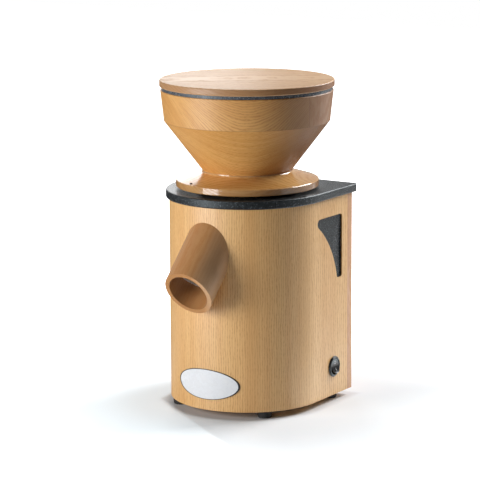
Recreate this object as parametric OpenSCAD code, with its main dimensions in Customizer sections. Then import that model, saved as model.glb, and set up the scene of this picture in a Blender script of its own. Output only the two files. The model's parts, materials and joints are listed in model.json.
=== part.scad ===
// Table-top stone grain mill: a round-fronted wooden housing with a slanted flour spout,
// a composite top plate, and a turned wooden hopper that screws up and down to set the
// fineness. A vertical motor drives the lower stone; the upper stone hangs from the hopper.
// Millimetres, +Z up. The mill stands on z = 0 with its spout towards -Y.

/* [Body] */
// Width of the wooden body, twice the radius of its round front
body_w = 186; // [176:1:196]
// Height of the wooden body
body_h = 241.5; // [230:0.5:260]
// From the stones' axis to the rear face of the body
body_back = 89; // [84:0.5:96]
// Thickness of the bent front-and-sides shell
wall_t = 12; // [10:0.5:13]
// Thickness of the flat board that closes the back
panel_t = 12; // [9:0.5:15]
// Rounding of the back board's two upright corners
panel_corner_r = 2; // [1:0.5:4]

/* [Top plate] */
// Thickness of the composite top plate
plate_t = 10; // [8:0.5:14]
// How far the plate stands out past the front and the sides
plate_out = 4; // [2:0.5:8]
// How far the plate stands out past the back
plate_out_back = 6; // [2:0.5:10]
// Rounding of the plate's upper and lower edges
plate_edge_r = 1.6; // [0.8:0.1:3]
// Rounding of the plate's two rear corners, seen from above
plate_corner_r = 5; // [3:0.5:12]

/* [Hopper] */
// Gap between the plate and the adjusting flange at the finest setting
flange_gap = 3.3; // [2:0.1:5]
// Radius of the adjusting flange
flange_r = 85; // [80:0.5:90]
// Height of the flange's upright rim
flange_rim_h = 8.2; // [6:0.2:10]
// Rise of the flange's sloping top, from its rim to the foot of the bowl
flange_rise = 11; // [8:0.5:13]
// Fillet between the flange and the bowl
flange_fillet = 2.5; // [1:0.5:4]
// Radius at the foot of the bowl
bowl_foot_r = 53.5; // [51:0.5:60]
// Height of the bowl's conical part
bowl_cone_h = 58.8; // [50:0.2:70]
// Radius where the cone meets the steep upper wall
bowl_break_r = 98.3; // [94:0.1:104]
// Height of the steep upper wall
bowl_rim_h = 36.7; // [28:0.1:45]
// Radius of the bowl's mouth
bowl_rim_r = 102.3; // [98:0.1:108]
// Thickness of the bowl's wall at the mouth
bowl_wall = 9; // [7:0.5:12]
// Radius of the grain throat
throat_r = 15; // [12:0.5:18]
// Radius of the bowl's spigot, which is glued into the flange
spigot_r = 46; // [40:0.5:49]
// Length of that spigot
spigot_h = 6; // [4:0.5:7]
// Radius of the black setting dot let into the flange
dot_r = 1.5; // [1:0.1:2.5]
// Distance of the dot from the flange's rim
dot_inset = 4.3; // [3:0.1:10]
// Angle of the dot from the front, towards the left
dot_angle = 22; // [0:1:90]

/* [Lid] */
// How far the lid stands out past the bowl's mouth
lid_out = 1.2; // [0:0.1:4]
// Thickness of the lid's wooden disc
lid_t = 8; // [6:0.5:12]
// Rounding of the lid's edges
lid_edge_r = 1.4; // [0.6:0.2:2.6]
// How far the composite ring under the lid lies inside the bowl's outer edge
lid_ring_in = 1.3; // [0.6:0.1:3]
// Height of that ring where it shows
lid_ring_h = 4; // [3:0.5:6]
// Depth of its lip inside the bowl
lid_lip_h = 6; // [4:0.5:10]
// Width of the lip
lid_lip_w = 9; // [6:0.5:14]
// Radial play between the lip and the bowl
lid_play = 0.6; // [0.4:0.1:1]

/* [Milling head] */
// Radius of both millstones
stone_r = 44; // [40:0.5:45]
// Thickness of each millstone
stone_t = 22; // [18:0.5:24]
// Gap between the stones at the finest setting
stone_gap = 0.3; // [0.2:0.05:0.6]
// Radius of the upper stone's eye
eye_r = 13; // [11:0.5:14]
// Width of the sloping breast around the eye, on both stones
breast_w = 10; // [6:0.5:14]
// Depth of that breast at the eye
breast_h = 5; // [3:0.5:7]
// Number of furrows cut in each stone
furrow_n = 12; // [8:1:16]
// Width of a furrow
furrow_w = 3; // [2:0.5:4]
// Depth of a furrow at its inner end
furrow_depth = 2.4; // [1:0.2:4]
// Slant of the furrows from the radius
furrow_skew = 28; // [10:1:40]
// Outer radius of the stone carrier, where its screw thread runs
thread_r = 50; // [48.5:0.5:52]
// Radius of the carrier's head, let into the flange
head_r = 58; // [56:0.5:64]
// Thickness of the carrier's head
head_t = 5; // [4:0.5:6]
// Thickness of the carrier between its head and the upper stone
carrier_t = 19; // [16:0.5:22]
// Height by which the carrier's skirt ends above the stone's face
skirt_lift = 3.7; // [2:0.1:6]
// Outer radius of the felt ring that keeps dust in
seal_r = 55.5; // [54:0.1:56]
// Height of the felt ring
seal_h = 8; // [6:0.5:10]
// Height of the ring with the female thread
nut_ring_h = 20; // [16:0.5:22]
// Inner radius of the milling chamber
chamber_r = 57; // [55.5:0.5:59]
// Wall of the milling chamber
chamber_wall = 5; // [3:0.5:6]
// Radius of the chamber's upper flange
chamber_flange_r = 70; // [67:0.5:72]
// Thickness of that flange
chamber_flange_t = 6; // [4:0.5:8]
// Thickness of the driver disc under the lower stone
hub_t = 4; // [3:0.5:6]
// Radius of the driver disc
hub_r = 34; // [28:0.5:38]
// Radius of the driver's boss inside the lower stone
boss_r = 9.5; // [8:0.5:11]
// Number of sweeper arms on the driver
sweeper_n = 3; // [2:1:4]
// Width of a sweeper arm
sweeper_w = 8; // [5:0.5:12]
// Gap between the sweepers and the chamber's floor and wall
sweeper_gap = 1; // [0.5:0.1:2]

/* [Spout] */
// Outer radius of the spout
spout_r = 30; // [26:0.5:32]
// Wall of the spout
spout_wall = 5.5; // [4:0.5:8]
// Slope of the spout below the horizontal, in degrees
spout_tilt = 45; // [42:1:50]
// Length of the spout outside the body, along its axis
spout_len = 49; // [40:0.5:60]
// Angle below the horizontal at which the cut face of the mouth looks out
mouth_tilt = 32; // [20:1:45]
// Wall of the chute that brings the flour from the chamber into the spout
chute_wall = 2.8; // [2:0.2:4]
// How far the chute reaches past the front face, along the spout's axis
chute_out = 24.5; // [10:0.5:30]

/* [Hand grips] */
// From the top of the body down to the grip's upper edge
grip_drop = 22.2; // [18:0.1:34]
// Height of the grip
grip_h = 77; // [60:0.5:84]
// From the rear face of the body to the grip's rear edge
grip_back = 25; // [22:0.5:34]
// Length of the grip's upper edge
grip_top_w = 72; // [60:0.1:76]
// Length of the grip's lower end
grip_tip_w = 11.6; // [11:0.1:20]
// Radius of the hollow curve of its front edge
grip_curve_r = 106; // [84:1:140]
// Rounding of the grip's front corner
grip_front_r = 5.6; // [3:0.2:7]
// Rounding of its other corners
grip_corner_r = 4; // [3:0.2:5]
// Depth at which the grip's lining lies behind the wood
grip_recess = 1.4; // [1:0.2:4]
// Width of the lining's flat rim around its dished rear part
grip_rim = 1.6; // [1:0.2:2.4]
// Radius of the ball that shapes the shallow dish
dish_ball_r = 1300; // [900:50:2000]
// Radius of the circle in which that ball meets the lining's face
dish_r = 70; // [64:0.5:76]
// From the grip's rear edge back to the middle of that circle
dish_back = 50; // [44:0.5:56]
// From the grip's upper edge down to the middle of that circle
dish_drop = 45; // [36:0.5:54]
// Thickness of the lining where the dish is deepest and around its hollow back
lining_t = 3; // [2:0.5:4]
// Width of the lining's flange behind the wall
lining_flange_w = 5; // [3:0.5:6]

/* [Badge] */
// Width of the plain oval plate on the front
badge_w = 84; // [60:1:96]
// Height of the plate
badge_h = 36.5; // [24:0.5:44]
// Thickness of the plate
badge_t = 1; // [0.6:0.1:2]
// From the bottom of the body up to the middle of the plate
badge_up = 31; // [26:0.5:60]

/* [Switch] */
// From the bottom of the body up to the middle of the switch
switch_up = 35; // [32:0.5:60]
// From the rear face of the body to the middle of the switch
switch_back = 43.5; // [42.5:0.5:60]
// Radius of the switch's bezel
bezel_r = 12.5; // [12:0.1:14]
// Height by which the bezel's inner collar stands out of the wood
bezel_t = 2.2; // [1.8:0.1:2.8]
// Height of the bezel's outer step
bezel_step_t = 1.1; // [0.8:0.1:1.4]
// Radius of the switch's barrel
barrel_r = 11; // [10.6:0.1:11.5]
// Radius of the opening that the rocker moves in
rocker_hole_r = 10; // [9.8:0.1:10.2]
// Angle between the rocker's two positions, in degrees
rocker_swing = 24; // [18:1:26]
// Radius of the rocker, seen from the side of the mill
rocker_r = 8.9; // [8:0.1:9]
// From the rocker's pin out to the middle of its face
rocker_rise = 3; // [2.4:0.1:3.4]
// Radius of the rocker's pin
rocker_pin_r = 1.2; // [0.8:0.1:1.5]

/* [Motor] */
// Radius of the motor's frame
motor_r = 55; // [50:0.5:57]
// Wall of the motor's frame
frame_wall = 5; // [4:0.5:7]
// Depth of each end shield
shield_h = 18; // [17:0.5:22]
// Radius of the motor's shaft
shaft_r = 6; // [5:0.5:7]
// Outer radius of each bearing
bearing_r = 16; // [13:0.5:18]
// Width of each bearing
bearing_w = 10; // [8:0.5:11]
// Radius of the rotor
rotor_r = 33; // [28:0.5:36]
// Air gap between the rotor and the stator
air_gap = 0.5; // [0.3:0.1:1]
// Room for the coils' ends, between the iron and each end shield
coil_room = 19.5; // [16:0.5:24]
// Radius of the cooling fan
fan_r = 44; // [36:1:50]
// Height of the fan's blades
fan_h = 12; // [8:0.5:14]
// Free height between the fan and the base board
fan_clear = 14.5; // [8:0.5:20]
// Number of the fan's blades
fan_n = 9; // [6:1:12]

/* [Base] */
// Thickness of the base board
base_t = 12; // [9:0.5:15]
// Width of the rebate in the walls' lower edge, which takes the board's rim
rebate_w = 6; // [4:0.5:8]
// Number of vent slots in the base board
vent_n = 16; // [8:1:20]
// Width of a vent slot
vent_w = 4; // [3:0.5:5]
// Height of the rubber feet
foot_h = 8.5; // [7:0.5:12]
// Radius of the rubber feet
foot_r = 9; // [8:0.5:10]
// Sideways place of the two front feet
foot_front_x = 59.5; // [54:0.5:61]
// Distance of the front feet in front of the stones' axis
foot_front_y = 57.5; // [50:0.5:59]
// From the body's side to the middle of a rear foot
foot_side = 15.5; // [12.5:0.5:20]
// From the body's rear face to the middle of a rear foot
foot_back = 28; // [22:0.5:32]

/* [Mains parts] */
// Radius of the run capacitor
capacitor_r = 17; // [14:0.5:18]
// Length of the run capacitor
capacitor_h = 70; // [50:1:80]
// Radius of the cable gland's collar on the back
gland_r = 9; // [8:0.5:11]
// Radius of the cable gland's bore
gland_bore_r = 3.6; // [3:0.1:4]
// From the bottom of the body up to the gland
gland_up = 24; // [22:0.5:40]

/* [Hidden] */
// Clearances
fit = 0.1;         // between pieces that are fixed to each other
run_fit = 0.05;    // around a piece that turns or slides
slack = 0.3;       // between the base board and the walls around it
thin = 0.01;       // overlap between what is cut away and the air beyond it
far = 400;         // longer than the mill

// Heights, from the bench up
body_r = body_w / 2;
z_body = foot_h;
z_plate = z_body + body_h;
z_plate_top = z_plate + plate_t;
z_flange = z_plate_top + flange_gap;
z_flange_rim = z_flange + flange_rim_h;
z_bowl = z_flange_rim + flange_rise;
z_break = z_bowl + bowl_cone_h;
z_rim = z_break + bowl_rim_h;
z_lid = z_rim + lid_ring_h;
z_head_top = z_flange + head_t;
z_stone_top = z_flange - carrier_t;
z_upper_face = z_stone_top - stone_t;
z_lower_face = z_upper_face - stone_gap;
z_hub_top = z_lower_face - stone_t;
z_hub = z_hub_top - hub_t;
z_floor = z_hub - sweeper_gap;
z_motor_top = z_floor - chamber_wall;
z_nut_ring = z_plate - nut_ring_h;
z_base_top = z_body + base_t;
seam_y = body_back - panel_t;
lid_r = bowl_rim_r + lid_out;
lid_ring_r = bowl_rim_r - lid_ring_in;

// Milling head: the shaft ends in the nut, just above the lower stone's face
z_nut = z_lower_face - breast_h - 1;
nut_h = 6;
z_shaft_top = z_nut + nut_h + 1;
z_dome = z_shaft_top + 2;
seal_hole_r = shaft_r + 4;
collar_r = chamber_r + 3;
collar_t = 3;
plate_hole_r = seal_r + 0.5;
chamber_screw_at = (chamber_r + chamber_wall + chamber_flange_r) / 2;

// Motor: it fills the height between the milling chamber and the fan above the base board
fan_lift = 6;
fan_disc_t = 2;
fan_blade_t = 2;
fan_hub_r = shaft_r + 4;
z_fan = z_base_top + fan_clear;
z_fan_disc = z_fan + fan_h;
z_motor = z_fan_disc + fan_disc_t + fan_lift;
motor_h = z_motor_top - z_motor;
iron_h = motor_h - 2 * (shield_h + coil_room);
z_iron = z_motor + shield_h + coil_room;
shaft_tail = 3;
shaft_edge = 0.8;
shield_t = 8;
bearing_cover = 5;
motor_screw_at = (bearing_r + motor_r) / 2 + 4;
coil_h = 12;
coil_edge = 3;
groove_n = 24;
groove_w = 4;
groove_d = 2;
groove_margin = 6;

// The spout's axis is set so that the chute's bore meets the chamber's floor at its wall.
bore_r = spout_r - spout_wall;
chute_r = bore_r - fit * 2;
chute_bore_r = chute_r - chute_wall;
spout_z = z_floor - (body_r - chamber_r) * tan(spout_tilt) + chute_bore_r / cos(spout_tilt);
mouth_slant = spout_tilt - mouth_tilt;
spout_behind = 3;
spout_reach = body_r + spout_len * cos(spout_tilt)
            + spout_r * (sin(spout_tilt) - cos(spout_tilt) * tan(mouth_slant));

// The mill's outline is centred on the origin, so the stones' axis lies behind it.
axis_y = (spout_reach - lid_r) / 2;

// Hopper: a funnel at 45 degrees runs from the break of the bowl down to the throat.
bowl_in_r = bowl_break_r - bowl_wall;
function funnel_r(z) = max(throat_r, bowl_in_r - (z_break - z));
z_throat = min(z_head_top - 0.5, z_break - (bowl_in_r - throat_r));
flange_slope = atan(flange_rise / (flange_r - bowl_foot_r));
flange_edge = 0.8;
bowl_edge_r = 1.2;
lip_edge = 1;
dot_at_r = flange_r - dot_inset;
dot_depth = 3;
dot_proud = 0.2;

// Grip outline: a flat top, an upright rear edge and a hollow front edge that runs from
// the top down to a narrow tip. The front edge is an arc through the ends of both.
grip_y = body_back - grip_back;
grip_z1 = z_plate - grip_drop;
grip_z0 = grip_z1 - grip_h;
grip_chord = [grip_top_w - grip_tip_w, -grip_h];
grip_half = norm(grip_chord) / 2;
grip_lean = sqrt(grip_curve_r * grip_curve_r - grip_half * grip_half) / (2 * grip_half);
grip_mid = [grip_y - (grip_top_w + grip_tip_w) / 2, grip_z1 - grip_h / 2];
grip_hub = grip_mid + grip_lean * [grip_chord[1], -grip_chord[0]];
lining_x = body_r - grip_recess;
dish_hub = sqrt(dish_ball_r * dish_ball_r - dish_r * dish_r);
dish_near = dish_back + grip_rim;
dish_depth = sqrt(dish_ball_r * dish_ball_r - dish_near * dish_near) - dish_hub;
lining_hollow = lining_x - dish_depth - lining_t;
lining_back = body_r - wall_t - lining_t;
lining_side = min(lining_t, grip_corner_r - 0.6, grip_front_r - 0.6);

// Switch: the rocker's hollow face is an arc whose ends lean by half the swing.
switch_y = body_back - switch_back;
switch_z = z_body + switch_up;
switch_nut_t = 4.2;
switch_body_t = 12;
blade_size = [8, 6, 0.8];
blade_pitch = 6;
barrel_l = wall_t + switch_nut_t;
bezel_edge_r = 0.5;
bezel_collar_r = rocker_hole_r + 1.2;
rocker_sink = 0.2;
rocker_play = 0.15;
rocker_depth = 4;
rocker_edge = 0.5;
rocker_x = body_r + bezel_t - rocker_rise * cos(rocker_swing / 2) - rocker_sink;
rocker_bow = rocker_r * tan(rocker_swing / 2);
rocker_hollow_r = (rocker_r * rocker_r + rocker_bow * rocker_bow) / (2 * rocker_bow);

// Feet: each has a pocket for its screw's head
foot_rear_x = body_r - foot_side;
foot_rear_y = body_back - foot_back;
foot_pocket = foot_h / 2;
foot_edge_r = 1.2;
foot_draft = 0.6;
foot_head_play = 0.4;
foot_screw_cover = 2;

// Glue blocks that the board and the plate are screwed to. Those in front are square pieces
// against the round wall; those at the back sit in the housing's corners.
front_block_w = 29;
block_w = 18;
block_d = 17;
block_h = 26;
top_block_h = 14;
block_inset = 5;
front_block_turn = 47;
front_block_at = (body_r - wall_t - block_inset) * [sin(front_block_turn), -cos(front_block_turn)];
rear_block_at = [body_r - wall_t - block_inset, seam_y - block_d + block_inset];
board_screw_front = front_block_at + [-11, 9];
board_screw_rear = rear_block_at + [-10.5, 7.5];

// Screws: head radius, head height, shank radius; then how far each bites past its piece
wood_screw = [4, 2.4, 2];
small_screw = [3, 2, 1.6];
foot_screw = [4, 2.4, 1.8];
screw_tip = 2;
carrier_bite = 8;
chamber_bite = 7;
board_bite = 14;
plate_cover = 3;

// Base board: the inner end of a vent slot, as a share of the fan's radius
vent_share = 0.36;

// Run capacitor, terminal block and gland, all on the back board
capacitor_side = 6;
capacitor_off = 5;
capacitor_up = 52;
capacitor_x = -(body_r - wall_t - capacitor_r - capacitor_side);
capacitor_y = seam_y - capacitor_r - capacitor_off;
capacitor_z = z_body + capacitor_up;
capacitor_edge = 2;
clip_h = 14;
clip_w = 16;
clip_t = 1.5;
tab_size = [6, 0.8, 8];
tab_at = 4;
terminal_x = 46;
terminal_up = 84;
terminal_z = z_body + terminal_up;
terminal_ways = 4;
terminal_pitch = 10;
terminal_w = 18;
terminal_base_t = 8;
terminal_top_t = 7;
terminal_edge = 1;
terminal_hole_r = 1.8;
terminal_hole_in = 5;
gland_x = -40;
gland_z = z_body + gland_up;
gland_neck_r = gland_r - 2;
gland_in = 8;
gland_nut_t = 5;
gland_collar_t = 3;
gland_edge_r = 1.2;

// Colours
beech = "#d7a670";
beech_edge = "#c99a6b";
composite = "#2f3236";
black = "#1b1b1c";
rubber = "#232323";
steel = "#b9bcc0";
brass = "#c7a24f";
copper = "#b06a3a";
iron = "#6d7178";
stone = "#d9d4c8";
felt = "#8d8478";
plastic = "#3a3d42";
alloy = "#c4c7ca";
white = "#f1f0ec";

$fn = 96;

// ---------- helpers ----------

function arc(x, y, r, a0, a1, n = 6) =
    [for (i = [0:n]) let (a = a0 + (a1 - a0) * i / n) [x + r * cos(a), y + r * sin(a)]];

// A rectangle with four round corners
function soft_box(x0, x1, y0, y1, r) = concat(
    arc(x1 - r, y0 + r, r, -90, 0),
    arc(x1 - r, y1 - r, r, 0, 90),
    arc(x0 + r, y1 - r, r, 90, 180),
    arc(x0 + r, y0 + r, r, 180, 270)
);

// Half of a turned disc with round outer edges, from the axis out to r1
function soft_disc(r1, z0, z1, r) =
    concat([[0, z0]], arc(r1 - r, z0 + r, r, -90, 0), arc(r1 - r, z1 - r, r, 0, 90), [[0, z1]]);

module on_axis() translate([0, axis_y, 0]) children();

module both_sides() {
    children();
    mirror([1, 0, 0]) children();
}

module around(n) for (i = [0:n - 1]) rotate(i * 360 / n) children();

module ring(r0, r1, z0, z1) rotate_extrude() translate([r0, z0]) square([r1 - r0, z1 - z0]);

// Countersunk screw that points up, its head flush with z = 0; grow makes it a hole.
module screw(length, grow = 0, kind = wood_screw) {
    z0 = grow > 0 ? -thin : 0;
    rotate_extrude() polygon([
        [0, z0], [kind[0] + grow, z0], [kind[2] + grow, kind[1]],
        [kind[2] + grow, length - screw_tip + grow], [0, length + grow]
    ]);
}

// Plan of the body: a half circle in front and a rectangle behind, both inset alike
module body_plan(inset, back) {
    r = body_r - inset;
    intersection() {
        circle(r = r);
        translate([-r, -r]) square([2 * r, r]);
    }
    translate([-r, 0]) square([2 * r, back]);
}

// Local +Z runs down the spout, from the point where its axis leaves the body
module along_spout() translate([0, -body_r, spout_z]) rotate([90 + spout_tilt, 0, 0]) children();

module at_feet() {
    both_sides() translate([foot_front_x, -foot_front_y, 0]) children();
    both_sides() translate([foot_rear_x, foot_rear_y, 0]) children();
}

module at_blocks() both_sides() for (p = [front_block_at, rear_block_at])
    translate([p[0], p[1], 0]) children();

// ---------- hopper and lid ----------

module lid() {
    color(beech) on_axis() rotate_extrude()
        polygon(soft_disc(lid_r, z_lid, z_lid + lid_t, lid_edge_r));
}

module lid_ring() {
    lip_r = bowl_rim_r - bowl_wall - lid_play;
    color(composite) on_axis() rotate_extrude() polygon([
        [lip_r - lid_lip_w, z_rim - lid_lip_h], [lip_r - lip_edge, z_rim - lid_lip_h],
        [lip_r, z_rim - lid_lip_h + lip_edge], [lip_r, z_rim], [lid_ring_r, z_rim],
        [lid_ring_r, z_lid], [lip_r - lid_lip_w, z_lid]
    ]);
}

module hopper_bowl() {
    z_foot = z_bowl - spigot_h;
    r = bowl_edge_r;
    color(beech) on_axis() rotate_extrude() polygon(concat(
        [
            [funnel_r(z_foot), z_foot], [spigot_r, z_foot], [spigot_r, z_bowl],
            [bowl_foot_r, z_bowl], [bowl_break_r, z_break]
        ],
        arc(bowl_rim_r - r, z_rim - r, r, 0, 90),
        arc(bowl_rim_r - bowl_wall + r, z_rim - r, r, 90, 180),
        [[bowl_in_r, z_break]]
    ));
}

module hopper_flange() {
    z_foot = z_bowl - spigot_h;
    color(beech) on_axis() difference() {
        rotate_extrude() polygon(concat(
            [
                [head_r + fit, z_flange], [head_r + fit, z_head_top],
                [funnel_r(z_head_top), z_head_top], [funnel_r(z_foot), z_foot],
                [spigot_r + fit, z_foot], [spigot_r + fit, z_bowl], [bowl_foot_r, z_bowl]
            ],
            arc(bowl_foot_r + flange_fillet, z_bowl, flange_fillet, 180, 270 - flange_slope),
            [[flange_r - flange_edge, z_flange_rim], [flange_r, z_flange_rim - flange_edge],
             [flange_r, z_flange + flange_edge], [flange_r - flange_edge, z_flange]]
        ));
        dot_shape(fit);
        carrier_screw_set(fit);
    }
}

// The dot stands square to the flange's sloping top.
module dot_shape(grow = 0) {
    z_dot = z_flange_rim + dot_inset * tan(flange_slope);
    rotate(-90 - dot_angle) translate([dot_at_r, 0, z_dot]) rotate([0, flange_slope, 0])
        translate([0, 0, -dot_depth - grow])
            cylinder(r = dot_r + grow, h = dot_depth + dot_proud + grow);
}

module setting_dot() {
    color(black) on_axis() dot_shape();
}

// ---------- milling head ----------

module carrier_screw_set(grow = 0) {
    around(4) translate([(thread_r + head_r) / 2, 0, z_flange])
        screw(head_t + carrier_bite, grow, small_screw);
}

module stone_carrier() {
    color(plastic) on_axis() difference() {
        rotate_extrude() polygon([
            [stone_r + fit, z_upper_face + skirt_lift], [thread_r, z_upper_face + skirt_lift],
            [thread_r, z_flange], [head_r, z_flange], [head_r, z_head_top],
            [funnel_r(z_head_top), z_head_top], [throat_r, z_throat], [throat_r, z_stone_top],
            [stone_r + fit, z_stone_top]
        ]);
        carrier_screw_set(fit);
    }
}

module carrier_screws() {
    color(steel) on_axis() carrier_screw_set();
}

// Straight furrows lie askew to the radius, are deepest at the breast and run out near the
// rim. Cut alike in both faces, they cross like scissors; side is 1 to cut up, -1 to cut down.
module furrows(z_face, side) {
    inner = eye_r + breast_w / 2;
    around(furrow_n) translate([inner, 0, z_face]) rotate(side * furrow_skew)
        translate([0, furrow_w / 2, 0]) rotate([90, 0, 0]) linear_extrude(furrow_w) polygon([
            [-breast_w, -side], [-breast_w, side * furrow_depth], [breast_w, side * furrow_depth],
            [stone_r - eye_r, 0], [stone_r - eye_r, -side]
        ]);
}

module upper_stone() {
    color(stone) on_axis() difference() {
        rotate_extrude() polygon([
            [eye_r + breast_w, z_upper_face], [stone_r, z_upper_face], [stone_r, z_stone_top],
            [eye_r, z_stone_top], [eye_r, z_upper_face + breast_h]
        ]);
        furrows(z_upper_face, 1);
    }
}

module lower_stone() {
    color(stone) on_axis() difference() {
        rotate_extrude() polygon([
            [boss_r + fit, z_hub_top], [stone_r, z_hub_top], [stone_r, z_lower_face],
            [eye_r + breast_w, z_lower_face], [eye_r, z_lower_face - breast_h],
            [boss_r + fit, z_lower_face - breast_h]
        ]);
        furrows(z_lower_face, -1);
    }
}

module dust_seal() {
    color(felt) on_axis() ring(thread_r + run_fit, seal_r, z_flange - seal_h, z_flange);
}

// The ring hangs by a collar in the chamber's mouth, and the top plate holds it down.
module thread_ring() {
    color(brass) on_axis() {
        ring(thread_r + run_fit, chamber_r - fit, z_nut_ring, z_plate - collar_t);
        ring(thread_r + run_fit, collar_r, z_plate - collar_t, z_plate);
    }
}

module chamber_screw_set(grow = 0) {
    around(4) rotate(45) translate([chamber_screw_at, 0, z_plate - chamber_flange_t])
        screw(chamber_flange_t + chamber_bite, grow, small_screw);
}

module chamber_screws() {
    color(steel) on_axis() chamber_screw_set();
}

module motor_screw_set(grow = 0) {
    around(4) translate([motor_screw_at, 0, z_floor])
        mirror([0, 0, 1]) screw(chamber_wall + shield_t - 1, grow);
}

module motor_screws() {
    color(steel) on_axis() motor_screw_set();
}

// The chute leaves the chamber at its floor and lines the upper part of the spout's bore.
module milling_chamber() {
    inner_end = (body_r - chamber_r) / cos(spout_tilt) + chute_r + chamber_wall;
    color(alloy) on_axis() difference() {
        union() {
            ring(0, chamber_r + chamber_wall, z_motor_top, z_plate);
            ring(0, chamber_flange_r, z_plate - chamber_flange_t, z_plate);
            intersection() {
                along_spout() translate([0, 0, -inner_end])
                    cylinder(r = chute_r, h = inner_end + chute_out);
                translate([0, 0, z_plate - far]) cylinder(r = far, h = far);
            }
        }
        translate([0, 0, z_floor]) cylinder(r = chamber_r, h = far);
        translate([0, 0, z_plate - collar_t]) cylinder(r = collar_r + fit, h = far);
        translate([0, 0, z_motor_top - 1]) cylinder(r = seal_hole_r, h = far);
        intersection() {
            along_spout() translate([0, 0, -inner_end])
                cylinder(r = chute_bore_r, h = inner_end + chute_out + 1);
            translate([0, 0, z_nut_ring - far]) cylinder(r = far, h = far);
        }
        chamber_screw_set(fit);
        motor_screw_set(fit);
    }
}

module shaft_seal() {
    color(felt) on_axis() ring(shaft_r + run_fit, seal_hole_r - fit, z_motor_top, z_floor);
}

// A disc with a boss carries the lower stone; its arms sweep the flour round to the chute.
module stone_driver() {
    paddle_r0 = stone_r + sweeper_gap;
    paddle_r1 = chamber_r - sweeper_gap;
    color(steel) on_axis() difference() {
        union() {
            ring(0, hub_r, z_hub, z_hub_top);
            ring(0, boss_r, z_hub, z_nut);
            intersection() {
                around(sweeper_n) translate([0, -sweeper_w / 2, z_hub]) {
                    cube([chamber_r, sweeper_w, hub_t]);
                    translate([paddle_r0, 0, 0]) cube([chamber_r, sweeper_w, stone_t / 2]);
                }
                translate([0, 0, z_hub]) cylinder(r = paddle_r1, h = stone_t);
            }
        }
        translate([0, 0, z_hub - 1]) cylinder(r = shaft_r, h = far);
    }
}

// Domed nut on the shaft's end, in the eye of the upper stone
module cap_nut() {
    dome_r = shaft_r + 1.6;
    color(steel) on_axis() difference() {
        union() {
            translate([0, 0, z_nut]) cylinder(r = boss_r, h = nut_h, $fn = 6);
            translate([0, 0, z_nut]) cylinder(r = dome_r, h = z_dome - z_nut);
            translate([0, 0, z_dome]) sphere(r = dome_r);
        }
        translate([0, 0, z_nut - 1]) cylinder(r = shaft_r, h = z_dome - z_nut);
    }
}

// ---------- housing ----------

module plate_screw_set(grow = 0) {
    at_blocks() translate([0, 0, z_plate - top_block_h])
        screw(top_block_h + plate_t - plate_cover, grow);
}

module plate_screws() {
    color(steel) on_axis() plate_screw_set();
}

module top_plate() {
    half = body_r + plate_out;
    back = body_back + plate_out_back;
    color(composite) on_axis() difference() {
        union() {
            rotate_extrude() polygon(soft_disc(half, z_plate, z_plate_top, plate_edge_r));
            intersection() {
                translate([0, back, 0]) rotate([90, 0, 0]) linear_extrude(back)
                    polygon(soft_box(-half, half, z_plate, z_plate_top, plate_edge_r));
                rotate([90, 0, 90]) linear_extrude(2 * half + 2, center = true)
                    polygon(soft_box(-half, back, z_plate, z_plate_top, plate_edge_r));
                translate([0, 0, z_plate - 1]) linear_extrude(plate_t + 2)
                    polygon(soft_box(-half, half, -half, back, plate_corner_r));
            }
        }
        translate([0, 0, z_plate - 1]) cylinder(r = plate_hole_r, h = plate_t + 2);
        plate_screw_set(fit);
        chamber_screw_set(fit);
    }
}

// A tube through the front wall: coped behind the wall, and cut off aslant at its mouth
module spout() {
    inner_end = (wall_t + spout_r + 8) / cos(spout_tilt);
    tube_l = inner_end + spout_len + spout_r;
    color(beech) on_axis() difference() {
        along_spout() translate([0, 0, -inner_end]) cylinder(r = spout_r, h = tube_l);
        along_spout() translate([0, 0, -inner_end - 1]) cylinder(r = bore_r, h = tube_l + 2);
        along_spout() translate([0, 0, spout_len]) rotate([-mouth_slant, 0, 0])
            cylinder(r = 2 * spout_r, h = 2 * spout_r);
        translate([0, 0, z_body - far]) cylinder(r = body_r - wall_t - spout_behind, h = 2 * far);
    }
}

module grip_prism(inset, x0, x1) {
    translate([x0, 0, 0]) rotate([90, 0, 90]) linear_extrude(x1 - x0) polygon(grip_outline(inset));
}

// Centre of a corner circle of radius r that touches the hollow front edge, at height z
function grip_touch(r, z) =
    [grip_hub[0] + sqrt(pow(grip_curve_r + r, 2) - pow(z - grip_hub[1], 2)), z];

// The same corner centres serve every inset, so the lining keeps an even gap to the wood.
function grip_outline(inset) =
    let (
        a = grip_touch(grip_front_r, grip_z1 - grip_front_r),
        d = grip_touch(grip_corner_r, grip_z0 + grip_corner_r),
        to_a = atan2(a[1] - grip_hub[1], a[0] - grip_hub[0]),
        to_d = atan2(d[1] - grip_hub[1], d[0] - grip_hub[0]),
        r_a = grip_front_r - inset,
        r = grip_corner_r - inset,
        y = grip_y - grip_corner_r,
        skip = 0.5
    )
    concat(
        arc(y, grip_z0 + grip_corner_r, r, -90, 0),
        arc(y, grip_z1 - grip_corner_r, r, 0, 90),
        arc(a[0], a[1], r_a, 90, 180 + to_a, 8),
        arc(grip_hub[0], grip_hub[1], grip_curve_r + inset, to_a - skip, to_d + skip, 20),
        arc(d[0], d[1], r, 180 + to_d, 270)
    );

// A turned lens, its flat side towards +X
module grip_dish() {
    lean = asin(dish_r / dish_ball_r);
    rotate([0, -90, 0]) rotate_extrude() polygon(concat(
        [[0, -2], [dish_r, -2]],
        arc(0, -dish_hub, dish_ball_r, 90 - lean, 90, 12)
    ));
}

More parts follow.
